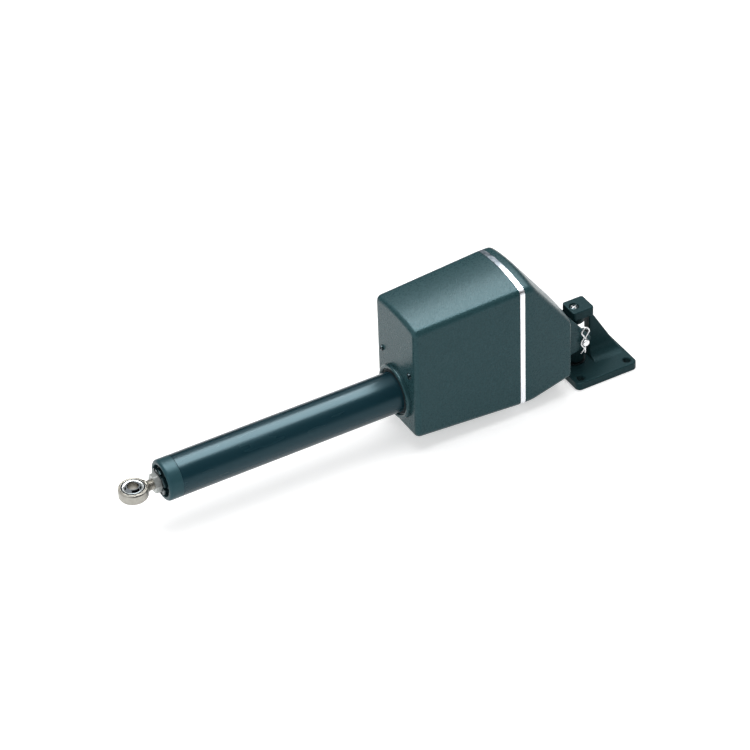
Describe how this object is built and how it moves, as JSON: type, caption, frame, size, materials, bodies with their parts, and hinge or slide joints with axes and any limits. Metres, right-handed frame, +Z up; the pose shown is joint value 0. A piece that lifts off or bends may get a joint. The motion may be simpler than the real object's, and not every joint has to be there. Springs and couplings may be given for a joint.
{
  "type": "autopilot linear drive",
  "caption": "Electric linear thrust drive for a rudder: a tapered motor housing with a telescopic thrust tube, a ball rod end and a swivelling bolt-down foot.",
  "frame": {"origin": "on the vertical pivot axis, on the underside of the mounting foot", "axes": "+X along the thrust line from the rod end towards the foot, +Z up and square to the mounting face"},
  "size_m": [0.613, 0.09, 0.1745],
  "materials": {
    "textured_paint": "fine textured dark paint, satin",
    "gloss_tube": "gloss dark coating on drawn tube",
    "satin_cap": "satin dark coating",
    "dark_casting": "dark painted casting",
    "bare_aluminium": "machined bare edge",
    "zinc_steel": "zinc plated, satin",
    "ground_steel": "ground",
    "black_steel": "blackened steel",
    "polished_chrome": "polished",
    "bronze": "sintered bronze",
    "black_rubber": "moulded rubber",
    "black_nylon": "moulded nylon",
    "motor_enamel": "enamelled steel can",
    "coil_steel": "phosphated steel shell with a potted winding"
  },
  "bodies": {
    "foot": {"mounting_foot": "textured_paint", "pivot_screw": "zinc_steel", "lower_pivot_pin": "ground_steel", "thrust_washer": "ground_steel"},
    "swivel": {"swivel_block": "dark_casting", "upper_pivot_bush": "bronze", "lower_pivot_bush": "bronze", "clevis_bush": "bronze"},
    "drive": {"rear_casing": "textured_paint", "chassis_plate": "bare_aluminium", "front_cover": "textured_paint", "cover_screws": "black_steel", "cover_pillars": "zinc_steel", "casing_screws": "black_steel", "tube_collar": "textured_paint", "tube_seal": "black_rubber", "outer_tube": "gloss_tube", "tube_end_cap": "satin_cap", "rod_guide_bush": "bronze", "rod_wiper": "black_rubber", "motor_can": "motor_enamel", "motor_end_cap": "bare_aluminium", "motor_flange": "bare_aluminium", "motor_screws": "black_steel", "bearing_housing": "bare_aluminium", "thrust_bearing": "ground_steel", "rear_bearing": "ground_steel", "clutch_coil": "coil_steel", "toothed_belt": "black_rubber", "cable_gland": "black_nylon", "clevis_pin": "zinc_steel", "pin_clip": "zinc_steel"},
    "rod": {"push_tube": "ground_steel", "rod_end_plug": "black_steel", "ball_nut": "ground_steel", "lock_nut": "zinc_steel", "rod_end_housing": "zinc_steel", "rod_end_race": "bronze"},
    "eye_ball": {"rod_end_ball": "polished_chrome"},
    "screw_shaft": {"ball_screw": "ground_steel", "driven_pulley": "bare_aluminium", "clutch_rotor": "ground_steel"},
    "motor_rotor": {"motor_shaft": "ground_steel", "drive_pulley": "bare_aluminium"}
  },
  "joints": [
    {"name": "foot_swivel", "type": "hinge", "parent": "foot", "child": "swivel", "pos_m": [0, 0, 0.06], "axis": [0, 0, 1], "range_deg": [-25, 25]},
    {"name": "tail_pitch", "type": "hinge", "parent": "swivel", "child": "drive", "pos_m": [0, 0, 0.048], "axis": [0, 1, 0], "range_deg": [-5, 5]},
    {"name": "motor_spin", "type": "hinge", "parent": "drive", "child": "motor_rotor", "pos_m": [-0.15, 0, 0.122], "axis": [1, 0, 0], "range_deg": [0, 32400]},
    {"name": "screw_spin", "type": "hinge", "parent": "drive", "child": "screw_shaft", "pos_m": [-0.2, 0, 0.06], "axis": [1, 0, 0], "range_deg": [0, 10800]},
    {"name": "rod_slide", "type": "slide", "parent": "drive", "child": "rod", "axis": [-1, 0, 0], "range_m": [0, 0.3]},
    {"name": "eye_tilt", "type": "hinge", "parent": "rod", "child": "eye_ball", "pos_m": [-0.54, 0, 0.06], "axis": [1, 0, 0], "range_deg": [-12, 12]}
  ],
  "couplings": [
    {"joint": "screw_spin", "follows": "motor_spin", "ratio": 0.33333},
    {"joint": "rod_slide", "follows": "motor_spin", "m_per_rad": 0.00053052}
  ]
}
